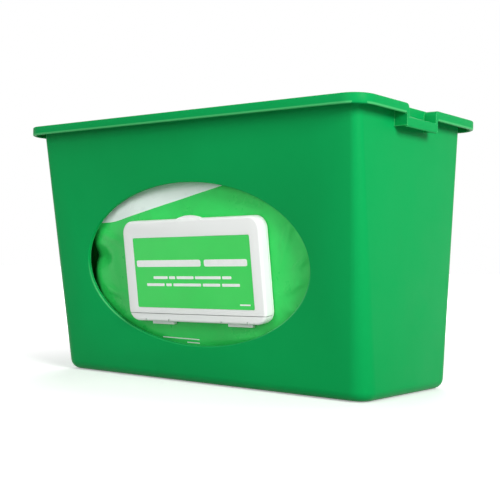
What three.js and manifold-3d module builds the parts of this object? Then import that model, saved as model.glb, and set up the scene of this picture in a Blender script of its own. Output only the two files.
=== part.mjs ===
// A wall-mounted wipe dispenser, in millimetres, +Z up, +X to the right and +Y into the wall.
// The origin is on the wall plane, at the centre of the flat land that the tub is screwed on by.
// A green moulded tub holds a soft pack of wipes. The pack's flip-top lid shows in the oval window of the tub's
// sloping front, and its flap opens out through that window.
import * as THREE from 'three';
import { mergeVertices } from 'three/addons/utils/BufferGeometryUtils.js';
import Module from 'manifold-3d';

const wasm = await Module();
wasm.setup();

// Tub: outer sizes at the rim and at the floor.
const TUB = {
  height: 190,
  topWidth: 292,
  topDepth: 139,
  sideDraft: 5.5,
  frontDraft: 24,
  rearDraft: 3,
  wall: 2.5,
  floor: 2.5,
  topCornerRadius: 6,
  bottomCornerRadius: 13,
  bottomFillet: 7,
};

// Rim: a flange with a downturned band round its edge. Its rear edge stands on the wall plane.
const RIM = {
  overhang: 9,
  wallStandOff: 12,
  flangeThickness: 2.3,
  bandHeight: 6.8,
  bandThickness: 2.2,
  edgeRadius: 1.1,
};

// Pocket: the rim dips on each side, between two small walls.
const POCKET = {
  length: 41,
  wall: 2.4,
  drop: 8.5,
  fromWallPlane: 85.5,
  brow: 3.6,
  browOverlap: 3,
};

// Window: an oval hole, cut square to the sloping front.
const WINDOW = {
  width: 207,
  height: 116,
  centreUpSlope: 85.4,
  edgeRound: 0.8,
};

// Land: the part of the rear wall that is stepped back to the wall plane, with the screw holes in it.
const LAND = {
  width: 184,
  widthDraft: 1.5,
  cornerRadius: 8,
  holeSpacing: 120,
  keyholeHeight: 150,
  headRadius: 4.6,
  shankRadius: 2.4,
  keyholeRise: 10,
  lowerHoleHeight: 42,
};

// Lid of the pack. It leans with the front, and sits very slightly askew, as the soft pack does.
const LID = {
  width: 128,
  height: 76,
  cornerRadius: 9,
  bottomUpSlope: 42.1,
  standsProud: 4.7,
  sideways: 6.1,
  skew: THREE.MathUtils.degToRad(1.3),
  basePlate: 1.3,
  thickness: 9,
  hingeStrip: 8.5,
  hingeGap: 0.5,
  tongueWidth: 21.5,
  tongueSpacing: 72,
  tongueDrop: 2.9,
  tongueDepth: 2.6,
  notchWidth: 1.2,
  notchHeight: 2,
  flapWall: 1.4,
  flapRound: 1.8,
  seatGap: 0.3,
  holeWidth: 72,
  holeHeight: 34,
  collarHeight: 4,
  collarWidth: 1.6,
  catchWidth: 18,
  catchDepth: 1.2,
  tabWidth: 24.6,
  tabHeight: 2.3,
  tabOffset: 1,
  tabNotch: 1.2,
};

const LABEL = {
  width: 108.4,
  height: 50.5,
  offset: 0.5,
  aboveBottom: 13.1,
  thickness: 0.25,
  recess: 0.4,
  margin: 0.3,
  cornerRadius: 1,
};

// Wipe: the tip of the first wipe, folded over in the dispensing hole.
const WIPE = {
  margin: 1.4,
  thickness: 4.8,
  foldDepth: 0.9,
  folds: 3,
};

// Pack: a film pack of folded wipes, standing on its long edge and leaning with the front.
const PACK = {
  bodyLength: 246,
  finLength: 13,
  finThickness: 1.2,
  height: 153,
  thickness: 84,
  endRound: 34,
  endHeightLoss: 7,
  squareness: 6,
  clearance: 0.3,
  topDip: 3,
  creaseDepth: 1.4,
  creases: 5,
};

const CORNER_STEPS = 8;
const FILLET_STEPS = 5;
const OVAL_STEPS = 96;
const HOLE_STEPS = 32;
const PACK_STEPS = 56;
const ROUND_STEPS = 5;
const TAB_STEPS = 12;
const EXTRA = 1;

const slope = Math.atan(TUB.frontDraft / TUB.height);
const lerp = THREE.MathUtils.lerp;

// Turns a closed three.js geometry into a solid that can be joined and cut.
function solidOf(geometry) {
  const bare = geometry.clone();
  bare.deleteAttribute('normal');
  bare.deleteAttribute('uv');
  const merged = mergeVertices(bare, 1e-5);
  return new wasm.Manifold(new wasm.Mesh({
    numProp: 3,
    vertProperties: merged.attributes.position.array,
    triVerts: new Uint32Array(merged.index.array),
  }));
}

function geometryOf(solid) {
  const mesh = solid.getMesh();
  const geometry = new THREE.BufferGeometry();
  geometry.setAttribute('position', new THREE.BufferAttribute(mesh.vertProperties, 3));
  geometry.setIndex(new THREE.BufferAttribute(mesh.triVerts, 1));
  return geometry;
}

// Joins rings of points with equal counts by a skin. Open lofts get flat ends; closed ones join last to first.
function loft(rings, closed = false) {
  const count = rings[0].length;
  const positions = rings.flat().flatMap((p) => [p.x, p.y, p.z]);
  const index = [];
  const spans = closed ? rings.length : rings.length - 1;
  for (let r = 0; r < spans; r++) {
    const below = r * count;
    const above = ((r + 1) % rings.length) * count;
    for (let i = 0; i < count; i++) {
      const j = (i + 1) % count;
      index.push(below + i, below + j, above + j, below + i, above + j, above + i);
    }
  }
  if (!closed) {
    const last = (rings.length - 1) * count;
    for (const [ring, first, turn] of [[rings[0], 0, -1], [rings.at(-1), last, 1]]) {
      const centre = ring.reduce((sum, p) => sum.add(p), new THREE.Vector3()).divideScalar(count);
      const hub = positions.length / 3;
      positions.push(centre.x, centre.y, centre.z);
      for (let i = 0; i < count; i++) {
        const j = (i + 1) % count;
        index.push(...(turn > 0 ? [hub, first + i, first + j] : [hub, first + j, first + i]));
      }
    }
  }
  const geometry = new THREE.BufferGeometry();
  geometry.setAttribute('position', new THREE.Float32BufferAttribute(positions, 3));
  geometry.setIndex(index);
  return geometry;
}

function loftSolid(rings, closed = false) {
  const solid = solidOf(loft(rings, closed));
  return solid.volume() < 0 ? solidOf(loft([...rings].reverse(), closed)) : solid;
}

// A rectangle with round corners, anticlockwise, as a list of 2-D points.
function roundedRectangle(xMin, xMax, yMin, yMax, radius, steps = CORNER_STEPS) {
  const corners = [
    [xMax - radius, yMin + radius, -Math.PI / 2],
    [xMax - radius, yMax - radius, 0],
    [xMin + radius, yMax - radius, Math.PI / 2],
    [xMin + radius, yMin + radius, Math.PI],
  ];
  return corners.flatMap(([x, y, start]) => Array.from({ length: steps + 1 }, (_, i) => {
    const angle = start + (i / steps) * (Math.PI / 2);
    return new THREE.Vector2(x + radius * Math.cos(angle), y + radius * Math.sin(angle));
  }));
}

const atHeight = (outline, z) => outline.map((p) => new THREE.Vector3(p.x, p.y, z));

function extruded(outline, depth, holes = []) {
  const shape = new THREE.Shape(outline);
  shape.holes = holes.map((hole) => new THREE.Path(hole));
  return new THREE.ExtrudeGeometry(shape, { depth, bevelEnabled: false });
}

// Where the tub's outer skin is at a height, moved inwards by an inset.
function tubOutline(z, inset = 0) {
  const share = z / TUB.height;
  const halfWidth = TUB.topWidth / 2 - TUB.sideDraft * (1 - share) - inset;
  const front = frontAt(z) + inset;
  const rear = -RIM.wallStandOff - TUB.rearDraft * (1 - share) - inset;
  const radius = lerp(TUB.bottomCornerRadius, TUB.topCornerRadius, share) - inset;
  return roundedRectangle(-halfWidth, halfWidth, front, rear, radius);
}

// The outer face of the sloping front at a height.
function frontAt(z) {
  return -RIM.wallStandOff - TUB.topDepth + TUB.frontDraft * (1 - z / TUB.height);
}

function landOutline(z, inset = 0) {
  const halfWidth = LAND.width / 2 - LAND.widthDraft * (1 - z / TUB.height) - inset;
  const front = -RIM.wallStandOff - TUB.rearDraft - TUB.wall - LAND.cornerRadius * 2;
  return roundedRectangle(-halfWidth, halfWidth, front, -inset, LAND.cornerRadius - inset);
}

// A drafted vessel body: its walls follow outlineAt, and its lower edge is rounded.
function vessel(outlineAt, inset, bottom, top, fillet) {
  const rings = [];
  for (let i = 0; i <= FILLET_STEPS; i++) {
    const angle = (i / FILLET_STEPS) * (Math.PI / 2);
    const z = bottom + fillet * (1 - Math.cos(angle));
    rings.push(atHeight(outlineAt(z, inset + fillet * (1 - Math.sin(angle))), z));
  }
  rings.push(atHeight(outlineAt(top, inset), top));
  return loftSolid(rings);
}

// The rim's outline at an offset from the tub's top edge. It reaches further at the rear, to the wall plane.
function rimOutline(offset) {
  const halfWidth = TUB.topWidth / 2 + offset;
  const front = frontAt(TUB.height) - offset;
  const rear = -RIM.wallStandOff + offset * (offset > 0 ? RIM.wallStandOff / RIM.overhang : 1);
  return roundedRectangle(-halfWidth, halfWidth, front, rear, TUB.topCornerRadius + offset);
}

// The rim's section, as [offset, height below the rim's top] pairs: flange, rounded edge, band.
function rimSection() {
  const out = RIM.overhang;
  const inBand = out - RIM.bandThickness;
  const round = (offset, drop, radius, from, to, steps = 3) => Array.from({ length: steps + 1 }, (_, i) => {
    const angle = lerp(from, to, i / steps);
    return [offset + radius * Math.cos(angle), drop - radius * Math.sin(angle)];
  });
  const half = RIM.bandThickness / 2;
  return [
    [-TUB.wall, 0],
    ...round(out - RIM.edgeRadius, RIM.edgeRadius, RIM.edgeRadius, Math.PI / 2, 0),
    ...round(out - half, RIM.bandHeight - half, half, 0, -Math.PI, 6),
    [inBand, RIM.flangeThickness],
    [-TUB.wall, RIM.flangeThickness],
  ];
}

function rim() {
  return loftSolid(rimSection().map(([offset, drop]) => atHeight(rimOutline(offset), TUB.height - drop)), true);
}

function boxSolid(min, max) {
  const size = max.clone().sub(min);
  const geometry = new THREE.BoxGeometry(size.x, size.y, size.z);
  geometry.translate(min.x + size.x / 2, min.y + size.y / 2, min.z + size.z / 2);
  return solidOf(geometry);
}

// A box across the rim on one side, over the pocket. It starts inside the tub's wall.
function pocketBox(side, margin, low, high) {
  const inner = TUB.topWidth / 2 - TUB.wall / 2;
  const outer = TUB.topWidth / 2 + RIM.overhang;
  const y = -POCKET.fromWallPlane;
  const reach = POCKET.length / 2 - margin;
  const xs = [side * inner, side * outer].sort((a, b) => a - b);
  return boxSolid(new THREE.Vector3(xs[0], y - reach, low), new THREE.Vector3(xs[1], y + reach, high));
}

// One end of a pocket: the rim's flange turns down over a round brow into a small wall.
function pocketEnd(side, end, low) {
  const top = TUB.height;
  const { wall, brow, browOverlap } = POCKET;
  const arc = (radius, from, to) => Array.from({ length: ROUND_STEPS + 1 }, (_, i) => {
    const angle = lerp(from, to, i / ROUND_STEPS);
    return new THREE.Vector2(wall - brow + radius * Math.cos(angle), top - brow + radius * Math.sin(angle));
  });
  const outline = [
    new THREE.Vector2(-browOverlap, top),
    ...arc(brow, Math.PI / 2, 0),
    new THREE.Vector2(wall, low),
    new THREE.Vector2(0, low),
    ...arc(brow - wall, 0, Math.PI / 2),
    new THREE.Vector2(-browOverlap, top - wall),
  ];
  const inner = TUB.topWidth / 2 - TUB.wall / 2;
  const run = TUB.topWidth / 2 + RIM.overhang - inner;
  const axes = new THREE.Matrix4().makeBasis(
    new THREE.Vector3(0, 1, 0), new THREE.Vector3(0, 0, 1), new THREE.Vector3(1, 0, 0),
  );
  const bracket = solidOf(extruded(outline, run).applyMatrix4(axes)).translate([inner, -POCKET.length / 2, 0]);
  const facing = end < 0 ? bracket : bracket.mirror([0, 1, 0]);
  return (side > 0 ? facing : facing.mirror([1, 0, 0])).translate([0, -POCKET.fromWallPlane, 0]);
}

// A bar along the side of the rim with the rim's rounded outer edge, to trim the pockets' ends to.
function rimEdgeBar(side, low) {
  const outer = TUB.topWidth / 2 + RIM.overhang;
  const inner = outer - RIM.overhang - TUB.wall;
  const edge = Array.from({ length: 4 }, (_, i) => {
    const angle = (i / 3) * (Math.PI / 2);
    const turn = RIM.edgeRadius;
    return new THREE.Vector2(
      outer - turn + turn * Math.cos(angle), TUB.height - turn + turn * Math.sin(angle),
    );
  });
  const outline = [new THREE.Vector2(inner, low), new THREE.Vector2(outer, low), ...edge,
    new THREE.Vector2(inner, TUB.height)];
  const reach = POCKET.length / 2 + POCKET.browOverlap + EXTRA;
  const bar = standing(outline, -POCKET.fromWallPlane - reach, -POCKET.fromWallPlane + reach);
  return side > 0 ? bar : bar.mirror([1, 0, 0]);
}

// The rim, with its section set lower over the pockets.
function rimWithPockets() {
  const top = TUB.height;
  const low = top - POCKET.drop - RIM.bandHeight + RIM.bandThickness / 2;
  const straight = rim();
  const browDip = POCKET.brow - Math.sqrt(POCKET.brow ** 2 - (POCKET.brow - POCKET.wall) ** 2);
  let result = straight;
  for (const side of [-1, 1]) {
    const cut = pocketBox(side, 0, low, top + EXTRA)
      .add(pocketBox(side, POCKET.wall - POCKET.brow, top - browDip, top + EXTRA));
    const lowered = straight.translate([0, 0, -POCKET.drop])
      .intersect(pocketBox(side, POCKET.wall / 2, low - RIM.bandThickness, top));
    const ends = pocketEnd(side, -1, low).add(pocketEnd(side, 1, low)).intersect(rimEdgeBar(side, low));
    result = result.subtract(cut).add(lowered).add(ends);
  }
  return result;
}

// The oval hole, with its outer edge rounded.
function windowCutter() {
  const round = WINDOW.edgeRound;
  const edge = Array.from({ length: 4 }, (_, i) => {
    const angle = (i / 3) * (Math.PI / 2);
    return [round * (1 - Math.cos(angle)), round * (1 - Math.sin(angle))];
  });
  const steps = [[-EXTRA, round], ...edge, [TUB.wall + EXTRA, 0]];
  return loftSolid(steps.map(([depth, grow]) => Array.from({ length: OVAL_STEPS }, (_, i) => {
    const angle = (i / OVAL_STEPS) * Math.PI * 2;
    const x = (WINDOW.width / 2 + grow) * Math.cos(angle);
    const z = WINDOW.centreUpSlope + (WINDOW.height / 2 + grow) * Math.sin(angle);
    return new THREE.Vector3(x, depth, z);
  })));
}

// A keyhole: a round hole for the screw's head, and a slot above it for the shank.
function keyhole(x, z) {
  const head = circle(LAND.headRadius);
  const slot = roundedRectangle(-LAND.shankRadius, LAND.shankRadius, 0, LAND.keyholeRise, LAND.shankRadius - 0.01);
  return solidOf(extruded(head, TUB.wall + 2 * EXTRA)).add(solidOf(extruded(slot, TUB.wall + 2 * EXTRA)))
    .rotate([90, 0, 0]).translate([x, EXTRA, z]);
}

function circle(radius) {
  return Array.from({ length: HOLE_STEPS }, (_, i) => {
    const angle = (i / HOLE_STEPS) * Math.PI * 2;
    return new THREE.Vector2(radius * Math.cos(angle), radius * Math.sin(angle));
  });
}

function screwHole(x, z) {
  return solidOf(extruded(circle(LAND.shankRadius), TUB.wall + 2 * EXTRA)).rotate([90, 0, 0]).translate([x, EXTRA, z]);
}

function tubGeometry() {
  const top = TUB.height;
  const shell = vessel(tubOutline, 0, 0, top, TUB.bottomFillet)
    .add(vessel(landOutline, 0, 0, top, TUB.bottomFillet));
  const innerFillet = TUB.bottomFillet - TUB.wall;
  const cavity = vessel(tubOutline, TUB.wall, TUB.floor, top + EXTRA, innerFillet)
    .add(vessel(landOutline, TUB.wall, TUB.floor, top + EXTRA, innerFillet));
  const window = windowCutter().rotate([THREE.MathUtils.radToDeg(slope), 0, 0]).translate([0, frontAt(0), 0]);
  let tub = shell.add(rimWithPockets()).subtract(cavity).subtract(window);
  for (const side of [-1, 1]) {
    const x = side * LAND.holeSpacing / 2;
    tub = tub.subtract(keyhole(x, LAND.keyholeHeight)).subtract(screwHole(x, LAND.lowerHoleHeight));
  }
  return geometryOf(tub);
}

// How full the pack is at a distance from its middle: 1 along its body, down to 0 at the end seals.
function packFullness(x) {
  const fromEnd = PACK.bodyLength / 2 - Math.abs(x);
  if (fromEnd >= PACK.endRound) return 1;
  const share = 1 - Math.max(fromEnd, 0) / PACK.endRound;
  return Math.sqrt(1 - share * share);
}

// One upright section of the pack. It leans with the front, and its lower side lies flat on the floor.
function packSection(x) {
  const fullness = packFullness(x);
  const half = Math.max(PACK.thickness / 2 * fullness, PACK.finThickness / 2);
  const loss = PACK.endHeightLoss * (1 - fullness);
  const low = TUB.floor + PACK.clearance + loss;
  const high = TUB.floor + PACK.clearance + PACK.height - loss - PACK.topDip * Math.cos(x / PACK.bodyLength * Math.PI);
  const middle = (low + high) / 2;
  const reach = (high - low) / 2;
  const centreDepth = packFront + PACK.thickness / 2;
  return Array.from({ length: PACK_STEPS }, (_, i) => {
    const angle = (i / PACK_STEPS) * Math.PI * 2;
    const up = Math.sign(Math.sin(angle)) * Math.abs(Math.sin(angle)) ** (2 / PACK.squareness);
    const out = Math.sign(Math.cos(angle)) * Math.abs(Math.cos(angle)) ** (2 / PACK.squareness);
    const gather = (1 - fullness) * fullness * 4 * PACK.creaseDepth * Math.cos(angle * PACK.creases * 2);
    const z = middle + up * reach;
    return new THREE.Vector3(x, frontAt(z) + centreDepth + out * (half - Math.max(gather, 0)), z);
  });
}

// The lid's rear face, measured square to the front, and from it the film's front face, measured along Y.
const lidRear = LID.thickness - LID.standsProud;
const packFront = (lidRear + LID.seatGap) / Math.cos(slope);

function packGeometry() {
  const stations = [];
  const end = PACK.bodyLength / 2;
  const roundSteps = 8;
  for (let i = 0; i <= roundSteps; i++) {
    stations.push(end - PACK.endRound * (1 - Math.sin((i / roundSteps) * (Math.PI / 2))) * 1);
  }
  const half = [...new Set([...Array.from({ length: 5 }, (_, i) => (end - PACK.endRound) * (i / 5)), ...stations])];
  half.push(end + PACK.finLength);
  half.sort((a, b) => a - b);
  const all = [...half.slice(1).reverse().map((x) => -x), ...half];
  return geometryOf(loftSolid(all.map(packSection)));
}

// The lid's outline in its own upright plane, from its lower edge at 0.
function lidOutline(low, high, inset = 0) {
  const reach = LID.width / 2 - inset;
  return roundedRectangle(-reach, reach, low + inset, high - inset, LID.cornerRadius - inset);
}

// Stands a flat outline's extrusion up: its plane becomes X and Z, and its depth runs inwards from y.
function standing(outline, yFrom, yTo, holes = []) {
  return solidOf(extruded(outline, yTo - yFrom, holes)).rotate([90, 0, 0]).translate([0, yTo, 0]);
}

function stadium(width, height, centreX, centreZ, steps = CORNER_STEPS) {
  return roundedRectangle(
    centreX - width / 2, centreX + width / 2, centreZ - height / 2, centreZ + height / 2, height / 2 - 0.01, steps,
  );
}

const holeCentre = (LID.hingeStrip + LID.height) / 2;

// The whole lid as one block with a soft front edge, cut to a band between two heights.
function lidBlock(depth, low, high) {
  const rings = Array.from({ length: ROUND_STEPS + 1 }, (_, i) => {
    const angle = (i / ROUND_STEPS) * (Math.PI / 2);
    return [LID.flapRound * (1 - Math.sin(angle)), LID.flapRound * (1 - Math.cos(angle))];
  });
  rings.push([0, depth]);
  const block = loftSolid(rings.map(([inset, y]) => lidOutline(LID.tongueDrop, LID.height, inset)
    .map((p) => new THREE.Vector3(p.x, y, p.y))));
  return block.intersect(boxSolid(
    new THREE.Vector3(-LID.width, -EXTRA, low), new THREE.Vector3(LID.width, depth + EXTRA, high),
  ));
}

function lidBaseGeometry() {
  const plateFront = LID.thickness - LID.basePlate;
  const hole = stadium(LID.holeWidth, LID.holeHeight, 0, holeCentre);
  const grow = 2 * LID.collarWidth;
  const collar = stadium(LID.holeWidth + grow, LID.holeHeight + grow, 0, holeCentre);
  const outline = lidOutline(LID.tongueDrop, LID.height);
  const strip = lidBlock(plateFront + 0.1, -EXTRA, LID.hingeStrip);
  let base = standing(outline, plateFront, LID.thickness, [hole])
    .add(standing(collar, plateFront - LID.collarHeight, plateFront + 0.1, [hole]))
    .add(strip);
  const hingeReach = LID.tongueWidth / 2;
  for (const side of [-1, 1]) {
    const x = side * LID.tongueSpacing / 2;
    const notch = boxSolid(
      new THREE.Vector3(x - hingeReach - LID.notchWidth, -EXTRA, -EXTRA),
      new THREE.Vector3(x + hingeReach + LID.notchWidth, plateFront, LID.tongueDrop + LID.notchHeight),
    ).subtract(boxSolid(
      new THREE.Vector3(x - hingeReach, -EXTRA, -EXTRA),
      new THREE.Vector3(x + hingeReach, plateFront, LID.hingeStrip),
    ));
    base = base.subtract(notch).add(boxSolid(
      new THREE.Vector3(x - hingeReach, LID.thickness - LID.tongueDepth, 0),
      new THREE.Vector3(x + hingeReach, LID.thickness, LID.hingeStrip),
    ));
  }
  const catchTop = LID.height - LID.flapWall - 0.6;
  return geometryOf(base.add(boxSolid(
    new THREE.Vector3(LID.tabOffset - LID.catchWidth / 2, plateFront - LID.collarHeight, catchTop - LID.catchDepth),
    new THREE.Vector3(LID.tabOffset + LID.catchWidth / 2, plateFront + 0.1, catchTop),
  )));
}

// The flap is a shallow tray: a front plate with a skirt on its four sides, a thumb tab and a recess for the label.
function lidFlapGeometry() {
  const low = LID.hingeStrip + LID.hingeGap;
  const skirtEnd = LID.thickness - LID.basePlate - LID.seatGap;
  const outer = lidBlock(skirtEnd, low, LID.height + EXTRA);
  const hollow = roundedRectangle(
    -LID.width / 2 + LID.flapWall, LID.width / 2 - LID.flapWall, low + LID.flapWall, LID.height - LID.flapWall,
    LID.cornerRadius - LID.flapWall,
  );
  const recess = roundedRectangle(
    LABEL.offset - LABEL.width / 2 - LABEL.margin, LABEL.offset + LABEL.width / 2 + LABEL.margin,
    LABEL.aboveBottom - LABEL.margin, LABEL.aboveBottom + LABEL.height + LABEL.margin,
    LABEL.cornerRadius + LABEL.margin,
  );
  const notchAt = LID.tabOffset + LID.tabWidth / 2;
  const notch = boxSolid(
    new THREE.Vector3(notchAt, -EXTRA, LID.height - LID.tabNotch),
    new THREE.Vector3(notchAt + LID.tabNotch, skirtEnd + EXTRA, LID.height + EXTRA),
  );
  return geometryOf(outer.add(thumbTab()).subtract(standing(hollow, LID.flapWall, skirtEnd + EXTRA))
    .subtract(standing(recess, -EXTRA, LABEL.recess)).subtract(notch));
}

// A low arch on the flap's upper edge, to lift it by.
function thumbTab() {
  const shape = Array.from({ length: TAB_STEPS + 1 }, (_, i) => {
    const share = i / TAB_STEPS;
    const rise = LID.tabHeight * Math.sin(share * Math.PI) ** 0.8;
    return new THREE.Vector2(LID.tabOffset + LID.tabWidth / 2 - LID.tabWidth * share, LID.height + rise);
  });
  const root = LID.height - LID.flapWall;
  shape.push(new THREE.Vector2(LID.tabOffset - LID.tabWidth / 2, root));
  shape.push(new THREE.Vector2(LID.tabOffset + LID.tabWidth / 2, root));
  return standing(shape, LID.flapRound, LID.flapRound + LID.flapWall);
}

function labelGeometry() {
  const outline = roundedRectangle(
    LABEL.offset - LABEL.width / 2, LABEL.offset + LABEL.width / 2,
    LABEL.aboveBottom, LABEL.aboveBottom + LABEL.height, LABEL.cornerRadius, 3,
  );
  return geometryOf(standing(outline, 0, LABEL.thickness));
}

// The wipe's tip fills the dispensing hole, and its front is gathered into soft folds.
function wipeGeometry() {
  const rear = LID.thickness;
  const width = LID.holeWidth - 2 * WIPE.margin;
  const height = LID.holeHeight - 2 * WIPE.margin;
  const rings = [[0, rear], [0, rear - WIPE.thickness * 0.6], [2, rear - WIPE.thickness]];
  return geometryOf(loftSolid(rings.map(([inset, y], level) => {
    const outline = stadium(width - 2 * inset, height - 2 * inset, 0, holeCentre);
    return outline.map((p) => {
      const wave = level === 2 ? WIPE.foldDepth * Math.cos(p.y / height * Math.PI * 2 * WIPE.folds) : 0;
      return new THREE.Vector3(p.x, y + Math.max(wave, 0), p.y);
    });
  })));
}

function part(name, geometry, colour, roughness) {
  const material = new THREE.MeshStandardMaterial({ color: colour, roughness, metalness: 0 });
  const mesh = new THREE.Mesh(geometry, material);
  mesh.name = name;
  return mesh;
}

const GREEN = 0x0b9a4b;
const FILM_GREEN = 0x35bd52;
const LABEL_GREEN = 0x36cc55;
const WHITE = 0xf4f6f5;

// Heights inside this group are measured from the underside of the tub.
const dispenser = new THREE.Group();
dispenser.position.z = -TUB.height / 2;
dispenser.add(part('dispenser_tub', tubGeometry(), GREEN, 0.38));
dispenser.add(part('wipes_pack', packGeometry(), FILM_GREEN, 0.32));

// The front's own frame: X to the right, Z up the slope, Y inwards from its outer face.
const front = new THREE.Group();
front.position.y = frontAt(0);
front.rotation.x = slope;
dispenser.add(front);

const lid = new THREE.Group();
lid.position.set(LID.sideways, -LID.standsProud, LID.bottomUpSlope);
lid.rotation.y = -LID.skew;
lid.add(part('lid_base', lidBaseGeometry(), WHITE, 0.4));
lid.add(part('lid_flap', lidFlapGeometry(), WHITE, 0.4));
lid.add(part('lid_label', labelGeometry(), LABEL_GREEN, 0.45));
lid.add(part('top_wipe', wipeGeometry(), WHITE, 0.9));
front.add(lid);

const wipeDispenser = new THREE.Group();
wipeDispenser.add(dispenser);

export default wipeDispenser;
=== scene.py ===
"""A wall-mounted wipe dispenser: a moulded tub, and in its oval window a film pack with a flip-top lid."""
import bisect
import math

import bmesh
import bpy
from mathutils import Matrix, Vector, noise


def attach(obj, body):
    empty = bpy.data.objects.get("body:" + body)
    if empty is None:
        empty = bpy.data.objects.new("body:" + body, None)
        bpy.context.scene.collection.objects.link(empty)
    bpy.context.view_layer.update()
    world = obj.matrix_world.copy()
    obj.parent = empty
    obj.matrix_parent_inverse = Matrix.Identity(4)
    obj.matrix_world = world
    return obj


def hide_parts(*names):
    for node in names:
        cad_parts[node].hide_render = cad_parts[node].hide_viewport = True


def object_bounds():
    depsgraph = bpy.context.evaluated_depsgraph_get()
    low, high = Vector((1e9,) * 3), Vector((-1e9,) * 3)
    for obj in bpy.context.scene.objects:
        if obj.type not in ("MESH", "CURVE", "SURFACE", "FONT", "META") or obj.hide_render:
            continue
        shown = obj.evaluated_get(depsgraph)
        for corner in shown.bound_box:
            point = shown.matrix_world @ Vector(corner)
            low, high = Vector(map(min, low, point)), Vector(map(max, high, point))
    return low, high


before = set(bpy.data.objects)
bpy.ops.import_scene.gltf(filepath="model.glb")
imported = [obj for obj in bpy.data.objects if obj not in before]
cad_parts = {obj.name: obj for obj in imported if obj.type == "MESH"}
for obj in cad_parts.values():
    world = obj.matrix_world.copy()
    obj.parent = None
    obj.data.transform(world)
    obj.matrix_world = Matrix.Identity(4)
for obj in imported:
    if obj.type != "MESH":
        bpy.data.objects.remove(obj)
CAD_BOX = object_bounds()
SCENE = bpy.context.scene
MM = 0.001
WHITE = (1.0, 1.0, 1.0, 1.0)

# Sizes that the solids also use.
TUB_HEIGHT, TUB_DEPTH, FRONT_DRAFT, STAND_OFF = 0.190, 0.139, 0.024, 0.012
SLOPE = math.atan(FRONT_DRAFT / TUB_HEIGHT)
FRONT_FOOT = Vector((0.0, -STAND_OFF - TUB_DEPTH + FRONT_DRAFT, -TUB_HEIGHT / 2))
FRONT_UP = Vector((0.0, -math.sin(SLOPE), math.cos(SLOPE)))
FRONT_IN = Vector((0.0, math.cos(SLOPE), math.sin(SLOPE)))


def on_front(x, up, inside):
    """A point by its place on the tub's sloping front: right, up the slope from the foot, and inwards."""
    return FRONT_FOOT + Vector((x, 0.0, 0.0)) + FRONT_UP * up + FRONT_IN * inside


def linear(r, g, b):
    """An sRGB colour, 0 to 255, as linear RGBA."""
    def one(v):
        v /= 255.0
        return v / 12.92 if v <= 0.04045 else ((v + 0.055) / 1.055) ** 2.4
    return (one(r), one(g), one(b), 1.0)


# Node trees and materials.
class Nodes:
    """A node tree with a few short cuts."""

    def __init__(self, tree):
        self.tree = tree

    def node(self, kind, **values):
        made = self.tree.nodes.new(kind)
        for key, value in values.items():
            setattr(made, key, value)
        return made

    def join(self, a, b):
        self.tree.links.new(a, b)

    def feed(self, source, socket):
        """Sets a socket to a plain value, or joins another node's output to it."""
        if isinstance(source, (tuple, float, int)):
            socket.default_value = source
        else:
            self.join(source, socket)

    def calc(self, kind, *sources):
        """The result of a Math node."""
        made = self.node("ShaderNodeMath", operation=kind)
        for source, socket in zip(sources, made.inputs):
            self.feed(source, socket)
        return made.outputs[0]

    def background_rays(self):
        """1 for the rays that see the pale background: from the camera, and in metal and glass."""
        path = self.node("ShaderNodeLightPath").outputs
        both = self.calc("MAXIMUM", path["Is Camera Ray"], path["Is Glossy Ray"])
        return self.calc("MAXIMUM", both, path["Is Transmission Ray"])


class Look(Nodes):
    """A material round one Principled shader."""

    def __init__(self, name):
        self.material = bpy.data.materials.new(name)
        self.material.use_nodes = True
        super().__init__(self.material.node_tree)
        self.shader = self.tree.nodes["Principled BSDF"]
        self.place = self.node("ShaderNodeTexCoord").outputs["Object"]

    def set(self, **sources):
        """Feeds the shader's sockets: a plain value is set on the socket itself."""
        for key, source in sources.items():
            self.feed(source, self.shader.inputs[key.replace("_", " ")])

    def axes(self):
        """The place on the object, as x, y and z."""
        split = self.node("ShaderNodeSeparateXYZ")
        self.join(self.place, split.inputs[0])
        return list(split.outputs)

    def noise(self, scale, detail=2.0, roughness=0.5, stretch=(1.0, 1.0, 1.0)):
        mapping = self.node("ShaderNodeMapping")
        mapping.inputs["Scale"].default_value = stretch
        self.join(self.place, mapping.inputs["Vector"])
        made = self.node("ShaderNodeTexNoise")
        made.inputs["Scale"].default_value = scale
        made.inputs["Detail"].default_value = detail
        made.inputs["Roughness"].default_value = roughness
        self.join(mapping.outputs[0], made.inputs["Vector"])
        return made.outputs["Fac"]

    def ramp(self, factor, low, colour, high, other):
        """A colour at a low factor that turns to another at a high one."""
        made = self.node("ShaderNodeValToRGB")
        for element, position, shade in zip(made.color_ramp.elements, (low, high), (colour, other)):
            element.position = position
            element.color = shade
        self.join(factor, made.inputs["Fac"])
        return made.outputs["Color"]

    def map(self, value, low, high, to_low, to_high):
        made = self.node("ShaderNodeMapRange")
        keys = ("From Min", "From Max", "To Min", "To Max")
        for key, number in zip(keys, (low, high, to_low, to_high)):
            made.inputs[key].default_value = number
        self.join(value, made.inputs["Value"])
        return made.outputs["Result"]

    def mix(self, factor, a, b):
        made = self.node("ShaderNodeMix", data_type="RGBA")
        for key, source in (("Factor", factor), ("A", a), ("B", b)):
            self.feed(source, made.inputs[key])
        return made.outputs["Result"]

    def tint(self, factor, colour):
        """Lays a colour over the base colour, by a factor."""
        below = self.shader.inputs["Base Color"].links[0].from_socket
        self.set(Base_Color=self.mix(factor, below, colour))

    def bump(self, height, strength, distance, before=None):
        made = self.node("ShaderNodeBump")
        made.inputs["Strength"].default_value = strength
        made.inputs["Distance"].default_value = distance
        self.join(height, made.inputs["Height"])
        if before is not None:
            self.join(before, made.inputs["Normal"])
        return made.outputs["Normal"]


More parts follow.
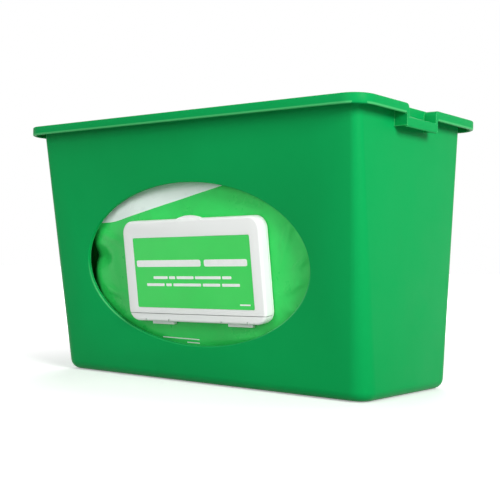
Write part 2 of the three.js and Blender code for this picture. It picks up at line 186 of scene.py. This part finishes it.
def moulded(name, colour, deeper, roughness, spread, grain):
    """Moulded plastic: slow changes of colour, uneven gloss, faint flow lines and a fine sparked grain."""
    look = Look(name)
    melt = look.noise(9.0, 4.0, 0.55, (1.0, 1.0, 0.45))
    rub = look.noise(34.0, 3.0, 0.6)
    waves = look.bump(look.noise(22.0, 1.0, 0.4), 0.10, 0.0012)
    look.set(Base_Color=look.ramp(melt, 0.3, deeper, 0.72, colour),
             Roughness=look.map(rub, 0.3, 0.7, roughness - spread, roughness + spread),
             Normal=look.bump(look.noise(2600.0, 1.0, 0.5), grain, 0.00006, waves))
    return look


# Where the normals of the rounded and of the real surface agree less, an edge's painted highlight starts, and
# is full.
EDGE_STARTS, EDGE_FULL = 0.97, 0.80


def paint_edge_highlight(look, radius, colour, amount):
    """Paints a highlight into the base colour along a narrow strip of the real edges, where moulded plastic
    catches the light.
    """
    bevel = look.node("ShaderNodeBevel", samples=6)
    bevel.inputs["Radius"].default_value = radius
    alike = look.node("ShaderNodeVectorMath", operation="DOT_PRODUCT")
    look.join(bevel.outputs["Normal"], alike.inputs[0])
    look.join(look.node("ShaderNodeNewGeometry").outputs["Normal"], alike.inputs[1])
    look.tint(look.map(alike.outputs["Value"], EDGE_STARTS, EDGE_FULL, 0.0, amount), colour)


# The window's ellipse on the tub's front, and how deep its outer lip is.
WINDOW_HALF_W, WINDOW_HALF_H, WINDOW_UP, LIP_DEPTH = 0.1035, 0.058, 0.0854, 0.0008
# The painted highlight on the lip, in shares of the ellipse: how far from its line it is full and ends,
# between which heights it grows, and between which distances to the side.
LIP_AT, LIP_FULL, LIP_ENDS = 1.002, 0.004, 0.011
LIP_STARTS_AT, LIP_FULL_AT = 0.05, -0.45
LIP_MIDDLE, LIP_SIDE, LIP_MIDDLE_SHARE = 0.48, 0.74, 0.15
# The lower edge of the rim's band, how far from it the painted highlight is full and ends, and the pockets
# that cut it.
RIM_EDGE, RIM_SIDE, RIM_FRONT = 0.0889, 0.1533, -0.1583
RIM_FULL, RIM_ENDS, RIM_SHARE = 0.0003, 0.0010, 0.9
POCKET_Y, POCKET_HALF = -0.0855, 0.0215


def paint_lip_and_rim_highlights(look, colour, amount):
    """Paints highlights into the base colour on the lower half of the window's outer lip, and along the rim
    band's lower edge.
    """
    calc = look.calc
    x, y, z = look.axes()
    up = calc("DIVIDE", calc("ADD", z, TUB_HEIGHT / 2), math.cos(SLOPE))
    across = calc("DIVIDE", x, WINDOW_HALF_W)
    high = calc("DIVIDE", calc("SUBTRACT", up, WINDOW_UP), WINDOW_HALF_H)
    reach = calc("SQRT", calc("ADD", calc("MULTIPLY", across, across), calc("MULTIPLY", high, high)))
    ring = look.map(calc("ABSOLUTE", calc("SUBTRACT", reach, LIP_AT)), LIP_FULL, LIP_ENDS, amount, 0.0)
    # The painted highlight fades upwards, and towards the middle of the window's foot.
    lower = look.map(high, LIP_STARTS_AT, LIP_FULL_AT, 0.0, 1.0)
    apart = look.map(calc("ABSOLUTE", across), LIP_MIDDLE, LIP_SIDE, LIP_MIDDLE_SHARE, 1.0)
    # Deeper in the cut than the outer lip there is none.
    behind_y = calc("MULTIPLY", calc("SUBTRACT", y, FRONT_FOOT.y), FRONT_IN.y)
    behind_z = calc("MULTIPLY", calc("SUBTRACT", z, FRONT_FOOT.z), FRONT_IN.z)
    outer = calc("LESS_THAN", calc("ADD", behind_y, behind_z), LIP_DEPTH)
    lip = calc("MULTIPLY", calc("MULTIPLY", ring, calc("MULTIPLY", lower, apart)), outer)
    # The rim's band has it on the front and the sides, but not across the pockets.
    from_edge = calc("ABSOLUTE", calc("SUBTRACT", z, RIM_EDGE))
    line = look.map(from_edge, RIM_FULL, RIM_ENDS, amount * RIM_SHARE, 0.0)
    beside = calc("GREATER_THAN", calc("ABSOLUTE", x), RIM_SIDE)
    outside = calc("MAXIMUM", beside, calc("LESS_THAN", y, RIM_FRONT))
    from_pocket = calc("ABSOLUTE", calc("SUBTRACT", y, POCKET_Y))
    outside = calc("MULTIPLY", outside, calc("GREATER_THAN", from_pocket, POCKET_HALF))
    look.tint(calc("MAXIMUM", lip, calc("MULTIPLY", line, outside)), colour)


def wipe_cloth():
    look = Look("wipe_cloth")
    weave = look.noise(900.0, 2.0, 0.6, (1.0, 1.0, 3.0))
    look.set(Base_Color=look.ramp(weave, 0.3, linear(228, 231, 230), 0.7, linear(247, 248, 248)),
             Normal=look.bump(weave, 0.5, 0.0003), Roughness=0.9, Sheen_Weight=0.3)
    return look


tub_look = moulded("green_moulding", linear(11, 164, 84), linear(8, 158, 79), 0.42, 0.04, 0.35)
tub_look.set(Specular_IOR_Level=0.05)
# Painted highlights in the tub's colour: along its real edges, on the window's lower lip and on the rim
# band's lower edge.
paint_edge_highlight(tub_look, 0.0009, linear(86, 218, 136), 0.85)
paint_lip_and_rim_highlights(tub_look, linear(120, 232, 150), 0.45)
lid_look = moulded("white_moulding", linear(250, 252, 250), linear(246, 249, 247), 0.36, 0.05, 0.2)
lid_look.set(Specular_IOR_Level=0.35)

# Faces that meet at less than this angle are shaded as one, and points this near to each other are one.
SHARP_FROM, WELD = math.radians(32.0), 0.002 * MM


def weld_and_smooth():
    """Nodes that weld a solid's loose faces and shade it smooth but for its real edges."""
    group = bpy.data.node_groups.new("weld_and_smooth", "GeometryNodeTree")
    group.interface.new_socket("Geometry", in_out="INPUT", socket_type="NodeSocketGeometry")
    group.interface.new_socket("Geometry", in_out="OUTPUT", socket_type="NodeSocketGeometry")
    nodes = Nodes(group)
    start, end = nodes.node("NodeGroupInput"), nodes.node("NodeGroupOutput")
    weld = nodes.node("GeometryNodeMergeByDistance")
    weld.inputs["Distance"].default_value = WELD
    every = nodes.node("GeometryNodeSetShadeSmooth")
    every.inputs["Shade Smooth"].default_value = True
    angle = nodes.node("GeometryNodeInputMeshEdgeAngle")
    small = nodes.node("FunctionNodeCompare", operation="LESS_THAN")
    small.inputs["B"].default_value = SHARP_FROM
    edges = nodes.node("GeometryNodeSetShadeSmooth", domain="EDGE")
    nodes.join(start.outputs[0], weld.inputs["Geometry"])
    nodes.join(weld.outputs[0], every.inputs["Geometry"])
    nodes.join(angle.outputs["Unsigned Angle"], small.inputs["A"])
    nodes.join(every.outputs[0], edges.inputs["Geometry"])
    nodes.join(small.outputs["Result"], edges.inputs["Shade Smooth"])
    nodes.join(edges.outputs[0], end.inputs[0])
    return group


smooth = weld_and_smooth()
for solid, look in (("dispenser_tub", tub_look), ("lid_base", lid_look), ("lid_flap", lid_look),
                    ("top_wipe", wipe_cloth())):
    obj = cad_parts[solid]
    obj.material_slots[0].material = look.material
    if obj.data.attributes.get("custom_normal") is not None:
        obj.data.attributes.remove(obj.data.attributes["custom_normal"])
    obj.modifiers.new("smooth", "NODES").node_group = smooth


# Meshes of the scene's own.
def skin(mesh, rings, slot=0):
    """Closes a row of rings of points with quads, and with a cap at each end."""
    faces = []
    for a, b in zip(rings, rings[1:]):
        for i in range(len(a)):
            j = (i + 1) % len(a)
            faces.append(mesh.faces.new((a[i], a[j], b[j], b[i])))
    faces += [mesh.faces.new(rings[0][::-1]), mesh.faces.new(rings[-1])]
    for face in faces:
        face.material_index = slot


def finished(mesh, name):
    """The mesh as an object in the scene, its faces turned outwards."""
    bmesh.ops.recalc_face_normals(mesh, faces=mesh.faces)
    data = bpy.data.meshes.new(name)
    mesh.to_mesh(data)
    mesh.free()
    made = bpy.data.objects.new(name, data)
    SCENE.collection.objects.link(made)
    return made


# The film pack: its sizes, and the number of steps along it, round it and over each flat end seal.
PACK_HALF, FIN, FIN_THICK = 0.123, 0.013, 0.0012
PACK_HEIGHT, PACK_THICK, PACK_LOW, TOP_DIP = 0.153, 0.084, 0.0028, 0.003
END_ROUND, END_LOSS, SQUARENESS = 0.028, 0.007, 6.0
LENGTH_STEPS, ROUND_STEPS, FIN_STEPS = 240, 240, 6
FILM_FRONT = 0.0046 / math.cos(SLOPE)
# The lid's place and half size, and how far inside and outside its border its hold on the film fades.
LID_X, LID_UP, LID_HALF_W, LID_HALF_H = 0.0052, 0.0816, 0.064, 0.0366
HOLD_IN, HOLD_OUT = 0.006, 0.018
# How deep the slack film sinks in pleats at the end seals, in wrinkles, all over the front, and in large and
# small folds behind, and how far it may stand out.
PLEAT, WRINKLE, FRONT_SINK, FOLD, SMALL_FOLD, MOST_OUT = 0.0042, 0.0007, 0.0006, 0.0016, 0.0007, 0.0012
# How many radians of pleats there are to a millimetre, and how far and how often they sway along the pack.
PLEATS, PLEAT_SWAY, PLEAT_SWAYS = 0.34, 2.2, 60.0
# Where the folds start and are full, from -1 at the front to 1 at the back, and how much they hang down.
BEHIND_FROM, BEHIND_FULL, FOLD_DROP = -0.75, 0.1, 1.6
# How much of the sinking and of the creases the lid takes away, and the half thickness of the pack from which
# on the end seals hold back neither its sinking nor its hanging folds.
HELD_SINK, HELD_LIFT, SINK_FREE, DROP_FREE = 0.75, 0.6, 0.006, 0.012
# How far behind the front the print turns over the top, and how much the steps crowd at the pack's ends.
PRINT_TURNS, CROWDED = 0.005, 0.35
# Creases of the film's front, as (x, up the slope, x, up the slope, width, lift), in mm.
CREASES = [
    (70, 106, 101, 119, 4, 1.0), (71, 76, 88, 119, 4.5, 2.4), (83, 79, 106, 100, 3.2, 2.0),
    (74, 65, 106, 83, 3.2, 2.0), (72, 96, 82, 96, 5, -1.0), (90, 110, 106, 98, 4, 0.9),
    (74, 58, 97, 52, 4, 0.9), (-82, 89, -124, 93, 10, -5.0), (-64, 60, -96, 66, 4, 0.9),
    (-62, 46, -94, 40, 4, 0.9), (-66, 100, -100, 110, 4, 0.9), (-54, 36, -20, 30, 4, 0.7),
    (20, 33, 66, 38, 4, 0.8), (-36, 130, 8, 126, 4, 0.6), (34, 130, 70, 122, 4, 0.9),
    (64, 138, 88, 120, 4, 0.9), (-80, 120, -56, 134, 5, 0.6),
]
CREASE_FADE, CREASE_OVER = 0.35, 0.02


def smoothstep(low, high, value):
    t = min(max((value - low) / (high - low), 0.0), 1.0)
    return t * t * (3.0 - 2.0 * t)


def squarer(value):
    """A sine or cosine that makes a rounded rectangle instead of an ellipse."""
    return math.copysign(abs(value) ** (2.0 / SQUARENESS), value)


def creased(x, up):
    """How much the creases lift the film at a place on its front, in mm: most on each one's line."""
    lift = 0.0
    for x0, up0, x1, up1, width, most in CREASES:
        dx, dup = x1 - x0, up1 - up0
        length = math.hypot(dx, dup)
        along = ((x - x0) * dx + (up - up0) * dup) / (length * length)
        across = abs((x - x0) * dup - (up - up0) * dx) / length
        ends = smoothstep(0.0, CREASE_FADE, along + CREASE_OVER) \
            * smoothstep(0.0, CREASE_FADE, 1.0 + CREASE_OVER - along)
        lift += max(0.0, 1.0 - across / width) * ends * most
    return lift


def pack_profile(x):
    """The pack's fullness, half thickness, lowest point and highest point, at a distance along it."""
    from_end = PACK_HALF - abs(x)
    fullness = 1.0
    if from_end < END_ROUND:
        share = 1.0 - max(from_end, 0.0) / END_ROUND
        fullness = math.sqrt(max(1.0 - share * share, 0.0))
    loss = END_LOSS * (1.0 - fullness)
    dip = TOP_DIP * math.cos(x / (2 * PACK_HALF) * math.pi)
    half = max(PACK_THICK / 2 * fullness, FIN_THICK / 2)
    return fullness, half, PACK_LOW + loss, PACK_LOW + PACK_HEIGHT - loss - dip


def film_point(x, angle):
    """A point of the film, and how far up its print it lies.

    The angle goes round the pack's section: 0 faces the wall, a half turn faces the window.
    """
    fullness, half, low, high = pack_profile(x)
    up, out = squarer(math.sin(angle)), squarer(math.cos(angle))
    z = (low + high) / 2 + up * (high - low) / 2
    front = -STAND_OFF - TUB_DEPTH + FRONT_DRAFT * (1.0 - z / TUB_HEIGHT)
    depth = FILM_FRONT + PACK_THICK / 2 + out * half
    up_slope = z / math.cos(SLOPE)
    # The film is slack: it gathers towards the end seals, and wrinkles on the flat front and back.
    pleats = math.sin(up_slope * 1000.0 * PLEATS + PLEAT_SWAY * math.sin(x * PLEAT_SWAYS)) * 0.5 + 0.5
    sink = (1.0 - fullness) * fullness * PLEAT * pleats
    flat = abs(out) ** 3
    wrinkle = noise.noise(Vector((x * 26.0, out * 3.0, z * 34.0)))
    wrinkle += 0.5 * noise.noise(Vector((x * 70.0, 5.0, z * 60.0)))
    sink += WRINKLE * (1.0 + wrinkle) * flat
    # Over the top and at the back the loose film falls into long shallow folds.
    behind = smoothstep(BEHIND_FROM, BEHIND_FULL, out)
    folds = abs(noise.noise(Vector((x * 16.0 + z * 9.0, out * 1.7, up * 1.3))))
    small_folds = abs(noise.noise(Vector((x * 48.0, out * 4.0, up * 4.0))))
    slack = (FOLD * folds + SMALL_FOLD * small_folds) * behind
    # On the front the lid holds the film flat, and creases run round it.
    if out < 0.0:
        held = 1.0 - smoothstep(LID_HALF_W - HOLD_IN, LID_HALF_W + HOLD_OUT, abs(x - LID_X))
        held *= 1.0 - smoothstep(LID_HALF_H - HOLD_IN, LID_HALF_H + HOLD_OUT, abs(up_slope - LID_UP))
        lift = MM * creased(x * 1000, up_slope * 1000)
        sink += FRONT_SINK * (1.0 - held) - lift * (1.0 - HELD_LIFT * held) * flat
        sink *= 1.0 - HELD_SINK * held
    sink = max(sink, -MOST_OUT) * min(1.0, half / SINK_FREE)
    y = front + depth - math.copysign(sink + slack, out) * abs(out) ** 0.5
    drop = slack * FOLD_DROP * up * min(1.0, half / DROP_FREE)
    # The print lies by the way up the front and on over the top.
    print_up = up_slope + (max(0.0, depth - FILM_FRONT - PRINT_TURNS) if up > 0.0 else 0.0)
    return Vector((x, y, z - drop - TUB_HEIGHT / 2)), print_up


def even_angles(count, fine=4000):
    """Angles round the section, such that the points lie evenly along it."""
    table, total, last = [], 0.0, None
    for i in range(fine + 1):
        angle = 2 * math.pi * i / fine
        point = squarer(math.cos(angle)) * PACK_THICK / 2, squarer(math.sin(angle)) * PACK_HEIGHT / 2
        if last is not None:
            total += math.dist(point, last)
        table.append((total, angle))
        last = point
    angles = []
    for k in range(count):
        want = k / count * total
        above = max(bisect.bisect_left(table, (want,)), 1)
        (a, first), (b, second) = table[above - 1], table[above]
        angles.append(first + (second - first) * (want - a) / max(b - a, 1e-12))
    return angles


def stations():
    """Places along the pack, closer together towards its ends, with the flat seals beyond them."""
    places = []
    for i in range(LENGTH_STEPS + 1):
        t = -1.0 + 2.0 * i / LENGTH_STEPS
        places.append(PACK_HALF * (math.sin(t * math.pi / 2) * CROWDED + t * (1.0 - CROWDED)))
    seal = [PACK_HALF + FIN - FIN * k / FIN_STEPS for k in range(FIN_STEPS)]
    return [-x for x in seal] + places + seal[::-1]


def film_pack():
    """The film pack as a closed tube of quads from one end seal to the other."""
    mesh = bmesh.new()
    angles = even_angles(ROUND_STEPS)
    rings, heights = [], []
    for x in stations():
        points = [film_point(x, angle) for angle in angles]
        rings.append([mesh.verts.new(place) for place, print_up in points])
        heights += [print_up for place, print_up in points]
    skin(mesh, rings)
    made = finished(mesh, "pack_film")
    made.data.attributes.new("print_up", "FLOAT", "POINT").data.foreach_set("value", heights)
    for polygon in made.data.polygons:
        polygon.use_smooth = True
    return made


# The film's print, in mm: a white wedge lies above a line that bends upwards left of BOW_FROM, and ends on
# the pack's top.
WEDGE_X, WEDGE_UP, WEDGE_RISE, WEDGE_TOP = -47.4, 123.6, 0.2285, 196.0
BOW_FROM, BOW = -70.0, 0.0059
# Two thin lines low on the front, as (up the slope, left end). Both end at x = 0, and lie in front of
# PRINT_FRONT only, in metres.
THIN_LINES = [(31.5, -35.5), (28.9, -12.0)]
LINE_HALF, PRINT_FRONT = 0.35, -0.11


def film_material():
    look = Look("printed_film")
    calc = look.calc
    x, y = look.axes()[:2]
    green = look.ramp(look.noise(30.0, 3.0, 0.55), 0.3, linear(42, 207, 89), 0.7, linear(50, 214, 97))
    x_mm = calc("MULTIPLY", x, 1000.0)
    stored = look.node("ShaderNodeAttribute", attribute_name="print_up")
    up_mm = calc("MULTIPLY", stored.outputs["Fac"], 1000.0)
    left_of = calc("MAXIMUM", calc("SUBTRACT", BOW_FROM, x_mm), 0.0)
    bow = calc("MULTIPLY", calc("MULTIPLY", left_of, left_of), BOW)
    edge = calc("ADD", calc("MULTIPLY", calc("SUBTRACT", x_mm, WEDGE_X), WEDGE_RISE), bow)
    above = calc("GREATER_THAN", up_mm, calc("ADD", edge, WEDGE_UP))
    wedge = calc("MULTIPLY", above, calc("LESS_THAN", up_mm, WEDGE_TOP))
    lines = []
    for line_up, left in THIN_LINES:
        span = calc("MULTIPLY", calc("GREATER_THAN", x_mm, left), calc("LESS_THAN", x_mm, 0.0))
        lines.append(calc("MULTIPLY", calc("COMPARE", up_mm, line_up, LINE_HALF), span))
    front_only = calc("LESS_THAN", y, PRINT_FRONT)
    printed = calc("MAXIMUM", wedge, calc("MULTIPLY", calc("MAXIMUM", *lines), front_only))
    # Small sharp creases run along the borders of warped cells.
    wander = look.node("ShaderNodeTexNoise")
    wander.inputs["Scale"].default_value = 18.0
    sway = look.node("ShaderNodeVectorMath", operation="SCALE")
    sway.inputs["Scale"].default_value = 0.05
    warp = look.node("ShaderNodeVectorMath", operation="ADD")
    cells = look.node("ShaderNodeTexVoronoi", feature="DISTANCE_TO_EDGE")
    cells.inputs["Scale"].default_value = 26.0
    look.join(look.place, wander.inputs["Vector"])
    look.join(wander.outputs["Color"], sway.inputs[0])
    look.join(look.place, warp.inputs[0])
    look.join(sway.outputs[0], warp.inputs[1])
    look.join(warp.outputs[0], cells.inputs["Vector"])
    borders = look.map(cells.outputs["Distance"], 0.0, 0.16, 1.0, 0.0)
    crinkled = look.bump(look.noise(70.0, 4.0, 0.62, (1.0, 1.0, 0.7)), 0.14, 0.0018)
    crinkled = look.bump(borders, 0.22, 0.0012, crinkled)
    look.set(Base_Color=look.mix(printed, green, linear(236, 249, 243)),
             Roughness=look.map(look.noise(60.0, 3.0, 0.6), 0.3, 0.7, 0.24, 0.38),
             Normal=look.bump(look.noise(260.0, 2.0, 0.5), 0.12, 0.0005, crinkled),
             Specular_IOR_Level=0.3)
    return look.material


film = film_pack()
film.data.materials.append(film_material())
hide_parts("wipes_pack")
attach(film, "tub")


# The lid's place on the front, and the label on it.
LID_SIDE, LID_FOOT, LID_PROUD, LID_SKEW = 0.0061, 0.0421, 0.0047, math.radians(1.3)
LABEL_W, LABEL_H, LABEL_OFFSET, LABEL_UP = 0.1084, 0.0505, 0.0005, 0.0131
# How far inwards from the lid's front the label and the ink on it start and end.
LABEL_FRONT, LABEL_REAR, INK_FRONT, INK_REAR = 0.00004, 0.00025, -0.00006, 0.00012
LABEL_ROUND, INK_ROUND_SHARE, SOFT_SHARE, LEAST_ROUND, CORNER_STEPS = 0.001, 0.28, 0.4, 0.00001, 6
# The lines of print, in mm: left, right, low, high, and the shares of the line that plain bars take.
LINES = [
    (-51.6, 51.5, 42.6, 47.4, [(0.0, 0.6), (0.63, 1.0)]),
    (-35.9, 36.8, 33.8, 35.8, [(0.0, 0.19), (0.21, 0.29), (0.31, 0.53), (0.55, 0.87), (0.89, 1.0)]),
    (-43.0, 43.8, 28.7, 30.7, [(0.0, 0.2), (0.22, 0.28), (0.3, 0.6), (0.62, 0.8), (0.82, 1.0)]),
    (42.6, 51.6, 15.8, 16.8, [(0.0, 1.0)]),
]


def on_lid(x, up, inside):
    """A point by its place on the lid: right, up from its lower edge, and inwards from its front."""
    turned_x = x * math.cos(LID_SKEW) - up * math.sin(LID_SKEW)
    turned_up = x * math.sin(LID_SKEW) + up * math.cos(LID_SKEW)
    return on_front(LID_SIDE + turned_x, LID_FOOT + turned_up, inside - LID_PROUD)


def panel(mesh, x0, x1, low, high, radius, front, rear, slot):
    """A thin rounded panel on the lid, with soft front edges."""
    corners = ((x1 - radius, low + radius, -90), (x1 - radius, high - radius, 0),
               (x0 + radius, high - radius, 90), (x0 + radius, low + radius, 180))

    def outline(inset, inside):
        points = []
        r = max(radius - inset, LEAST_ROUND)
        for x, up, start in corners:
            for i in range(CORNER_STEPS + 1):
                angle = math.radians(start + 90 * i / CORNER_STEPS)
                place = on_lid(x + r * math.cos(angle), up + r * math.sin(angle), inside)
                points.append(mesh.verts.new(place))
        return points

    soft = min(radius, rear - front) * SOFT_SHARE
    skin(mesh, [outline(0.0, rear), outline(0.0, front + soft), outline(soft, front)], slot)


def label_piece():
    """The label, and plain white bars where the lines of print are."""
    mesh = bmesh.new()
    x0, x1 = LABEL_OFFSET - LABEL_W / 2, LABEL_OFFSET + LABEL_W / 2
    panel(mesh, x0, x1, LABEL_UP, LABEL_UP + LABEL_H, LABEL_ROUND, LABEL_FRONT, LABEL_REAR, 0)
    for left, right, low, high, words in LINES:
        radius = (high - low) * INK_ROUND_SHARE * MM
        for start, end in words:
            a, b = left + (right - left) * start, left + (right - left) * end
            panel(mesh, a * MM, b * MM, low * MM, high * MM, radius, INK_FRONT, INK_REAR, 1)
    return finished(mesh, "label_print")


def label_material():
    look = Look("label_stock")
    tone = look.noise(24.0, 2.0, 0.5)
    look.set(Base_Color=look.ramp(tone, 0.3, linear(47, 211, 84), 0.7, linear(53, 217, 90)),
             Roughness=look.map(look.noise(50.0), 0.3, 0.7, 0.36, 0.46),
             Normal=look.bump(look.noise(500.0, 2.0), 0.1, 0.0002))
    return look.material


def ink_material():
    look = Look("white_ink")
    tone = look.noise(300.0, 2.0, 0.5)
    look.set(Base_Color=look.ramp(tone, 0.3, linear(245, 249, 246), 0.7, linear(251, 253, 251)),
             Roughness=0.45)
    return look.material


label = label_piece()
label.data.materials.append(label_material())
label.data.materials.append(ink_material())
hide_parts("lid_label")
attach(label, "flap")


# The camera.
CAMERA_PLACE = Vector((0.45724, -0.64566, -0.00575))
YAW, PITCH, ROLL = (math.radians(v) for v in (38.379, 0.550, 0.922))
FOCAL_LENGTH, SENSOR_WIDTH = 69.695, 36.0
ahead = Vector((-math.sin(YAW) * math.cos(PITCH), math.cos(YAW) * math.cos(PITCH), math.sin(PITCH)))
level = Vector((math.cos(YAW), math.sin(YAW), 0.0))
upright = level.cross(ahead)
right = level * math.cos(ROLL) + upright * math.sin(ROLL)
up = upright * math.cos(ROLL) - level * math.sin(ROLL)
lens = bpy.data.cameras.new("camera")
lens.lens, lens.sensor_width = FOCAL_LENGTH, SENSOR_WIDTH
lens.clip_start, lens.clip_end = 0.01, 50.0
camera = bpy.data.objects.new("camera", lens)
SCENE.collection.objects.link(camera)
turn = Matrix((right, up, -ahead)).transposed()
camera.matrix_world = Matrix.Translation(CAMERA_PLACE) @ turn.to_4x4()
SCENE.camera = camera


# The floor, the world and the lamps.
FLOOR_HALF, FLOOR_GAP = 6.0, 0.0004
# Between which distances from the object the floor is lifted towards white, and from how much.
LIFT_FROM, LIFT_FULL, LIFT_LEAST = 0.22, 0.5, 0.34
# The floor's colour in the camera's eyes, and the darker one for the light that it throws back.
FLOOR_SEEN, FLOOR_LIT = (0.9, 0.9, 0.9, 1.0), (0.45, 0.45, 0.45, 1.0)
LAMP_TARGET = Vector((0.0, -0.08, 0.0))


def pale_floor():
    """A plain floor that the camera sees as white, with the object's shadow near it."""
    z, s = CAD_BOX[0][2] - FLOOR_GAP, FLOOR_HALF
    mesh = bpy.data.meshes.new("floor")
    mesh.from_pydata([(-s, -s, z), (s, -s, z), (s, s, z), (-s, s, z)], [], [(0, 1, 2, 3)])
    obj = bpy.data.objects.new("floor", mesh)
    SCENE.collection.objects.link(obj)
    look = Look("floor_white")
    seen = look.background_rays()
    far = look.node("ShaderNodeVectorMath", operation="LENGTH")
    look.join(look.place, far.inputs[0])
    rise = look.map(far.outputs["Value"], LIFT_FROM, LIFT_FULL, LIFT_LEAST, 1.0)
    look.set(Base_Color=look.mix(seen, FLOOR_LIT, FLOOR_SEEN),
             Emission_Strength=look.calc("MULTIPLY", seen, rise), Emission_Color=WHITE,
             Roughness=0.85, Specular_IOR_Level=0.1)
    mesh.materials.append(look.material)


def white_world(strength):
    """Soft white light all round, behind which the background is white."""
    world = bpy.data.worlds.new("studio")
    SCENE.world = world
    world.use_nodes = True
    nodes = Nodes(world.node_tree)
    nodes.tree.nodes.clear()
    mix = nodes.node("ShaderNodeMixShader")
    nodes.join(nodes.background_rays(), mix.inputs[0])
    for amount, socket in ((strength, mix.inputs[1]), (1.0, mix.inputs[2])):
        shade = nodes.node("ShaderNodeBackground")
        shade.inputs["Strength"].default_value = amount
        shade.inputs["Color"].default_value = WHITE
        nodes.join(shade.outputs[0], socket)
    nodes.join(mix.outputs[0], nodes.node("ShaderNodeOutputWorld").inputs[0])


def lamp(name, place, size, power):
    """A square lamp that faces the object."""
    data = bpy.data.lights.new(name, "AREA")
    data.shape, data.size, data.energy = "SQUARE", size, power
    made = bpy.data.objects.new(name, data)
    SCENE.collection.objects.link(made)
    made.location = place
    made.rotation_mode = "QUATERNION"
    made.rotation_quaternion = (LAMP_TARGET - Vector(place)).to_track_quat("-Z", "Y")


pale_floor()
white_world(0.23)
lamp("key_right", (1.44, -0.6, 0.62), 0.6, 23.5)
lamp("fill_front", (0.0, -1.55, 0.5), 0.9, 7.2)
lamp("fill_back", (-0.7, 1.3, 1.0), 1.2, 14.0)
SCENE.view_settings.view_transform = "Standard"
